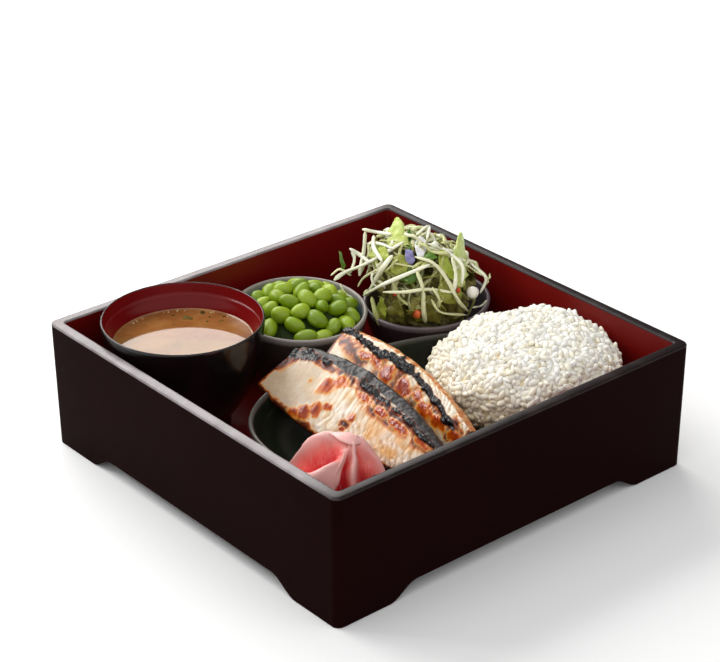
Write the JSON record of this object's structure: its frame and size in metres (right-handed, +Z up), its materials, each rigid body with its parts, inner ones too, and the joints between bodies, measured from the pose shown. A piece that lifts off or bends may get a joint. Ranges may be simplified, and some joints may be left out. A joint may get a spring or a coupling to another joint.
{
  "type": "bento box meal",
  "caption": "Square lacquer bento box on corner feet, set with miso soup, green soya beans, salad, steamed rice, glazed grilled fish fillets and pickled ginger.",
  "frame": {"origin": "on the surface the box stands on, under the middle of the square box", "axes": "+Z up; +X and +Y along the box's sides, with the soup bowl in the -X +Y corner and the ginger in the -X -Y corner"},
  "size_m": [0.27, 0.27, 0.1051],
  "materials": {
    "box_lacquer": "satin dark brown outside, red inside",
    "soup_bowl_lacquer": "gloss black outside, deep red inside",
    "miso_soup": "wet, cloudy",
    "bean_dish_glaze": "satin grey-blue inside, dark outside",
    "bean_skin": "moist satin",
    "salad_dish_glaze": "satin grey-violet inside, dark outside",
    "salad_leaves": "moist, translucent",
    "plate_glaze": "gloss dark green-black",
    "rice_grain": "moist, translucent white",
    "ginger_slice": "moist, translucent pink",
    "fish_flesh": "white flesh, amber glaze, charred skin edge"
  },
  "bodies": {
    "root": {"box": "box_lacquer", "soup_bowl": "soup_bowl_lacquer", "soup": "miso_soup", "bean_dish": "bean_dish_glaze", "soya_beans": "bean_skin", "salad_dish": "salad_dish_glaze", "salad": "salad_leaves", "plate": "plate_glaze", "rice": "rice_grain", "ginger": "ginger_slice", "fish_front": "fish_flesh", "fish_back": "fish_flesh"}
  },
  "joints": []
}
